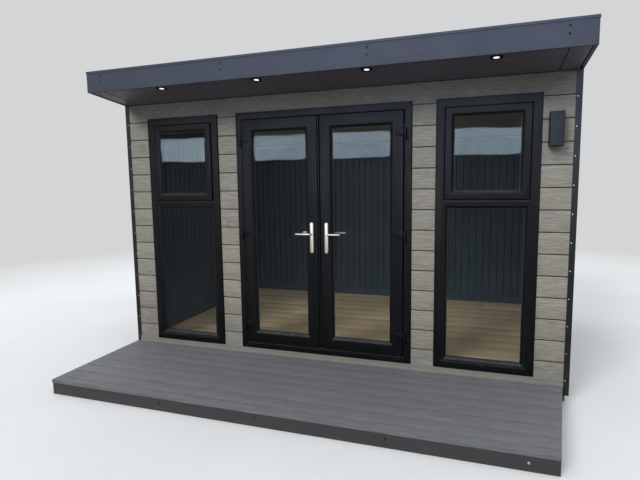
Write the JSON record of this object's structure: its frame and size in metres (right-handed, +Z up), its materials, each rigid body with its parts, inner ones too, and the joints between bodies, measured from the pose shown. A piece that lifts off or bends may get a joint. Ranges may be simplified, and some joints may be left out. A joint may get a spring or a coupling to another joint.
{
  "type": "garden office",
  "caption": "Clad garden office pod with a sloping roof and lit canopy, glazed French doors between tall windows, and a low deck along its front.",
  "frame": {"origin": "on the ground, in the middle of the box round the whole part", "axes": "+X to the right as seen from the front, +Y from the deck into the building, +Z up"},
  "size_m": [3.762, 3.406, 2.5443],
  "materials": {
    "timber": "planed softwood",
    "lining": "ribbed boards, painted grey",
    "cladding": "painted boards with a fine grain",
    "roof_sheet": "smooth sheet",
    "capping": "satin",
    "fascia": "matt with a fine grain",
    "soffit": "satin",
    "lens": "frosted",
    "lamp": "satin",
    "frame": "satin",
    "glass": "clear",
    "hinge": "satin",
    "handle": "satin",
    "deck": "grooved composite"
  },
  "bodies": {
    "building": {"base_frame": "timber", "floor_panel": "timber", "left_outer_pier": "timber", "left_inner_pier": "timber", "right_inner_pier": "timber", "right_outer_pier": "timber", "front_header": "timber", "left_wall": "timber", "right_wall": "timber", "back_wall": "timber", "roof_panel": "timber", "deck_frame": "timber", "wall_lining": "lining", "ceiling_lining": "lining", "front_cladding": "cladding", "side_cladding": "cladding", "back_cladding": "cladding", "base_trim": "cladding", "roof_membrane": "roof_sheet", "roof_capping": "capping", "front_fascia": "fascia", "side_fascias": "fascia", "back_fascia": "fascia", "canopy_soffit": "soffit", "light_lenses": "lens", "downlight_rings": "lamp", "wall_light": "lamp", "corner_trims": "frame", "door_frame": "frame", "left_window_frame": "frame", "right_window_frame": "frame", "left_window_sash": "frame", "right_window_sash": "frame", "left_window_glass": "glass", "right_window_glass": "glass", "left_hinge_blocks": "hinge", "right_hinge_blocks": "hinge", "deck_boards": "deck", "deck_front_facing": "deck", "deck_side_facings": "deck"},
    "left_door": {"left_leaf": "frame", "left_leaf_glass": "glass", "left_hinge_flags": "hinge", "left_handle_plates": "handle"},
    "right_door": {"right_leaf": "frame", "right_leaf_glass": "glass", "right_hinge_flags": "hinge", "right_handle_plates": "handle"},
    "left_handle": {"left_lever": "handle"},
    "right_handle": {"right_lever": "handle"}
  },
  "joints": [
    {"name": "left_door_hinge", "type": "hinge", "parent": "building", "child": "left_door", "pos_m": [-0.695, -0.727, 1.181], "axis": [0, 0, -1], "range_deg": [0, 90]},
    {"name": "right_door_hinge", "type": "hinge", "parent": "building", "child": "right_door", "pos_m": [0.695, -0.727, 1.181], "axis": [0, 0, 1], "range_deg": [0, 90]},
    {"name": "left_handle_turn", "type": "hinge", "parent": "left_door", "child": "left_handle", "pos_m": [-0.063, -0.696, 1.191], "axis": [0, -1, 0], "range_deg": [0, 35], "stiffness_Nm_per_rad": 2.5, "springref_deg": -11.46},
    {"name": "right_handle_turn", "type": "hinge", "parent": "right_door", "child": "right_handle", "pos_m": [0.063, -0.696, 1.191], "axis": [0, 1, 0], "range_deg": [0, 35], "stiffness_Nm_per_rad": 2.5, "springref_deg": -11.46}
  ]
}
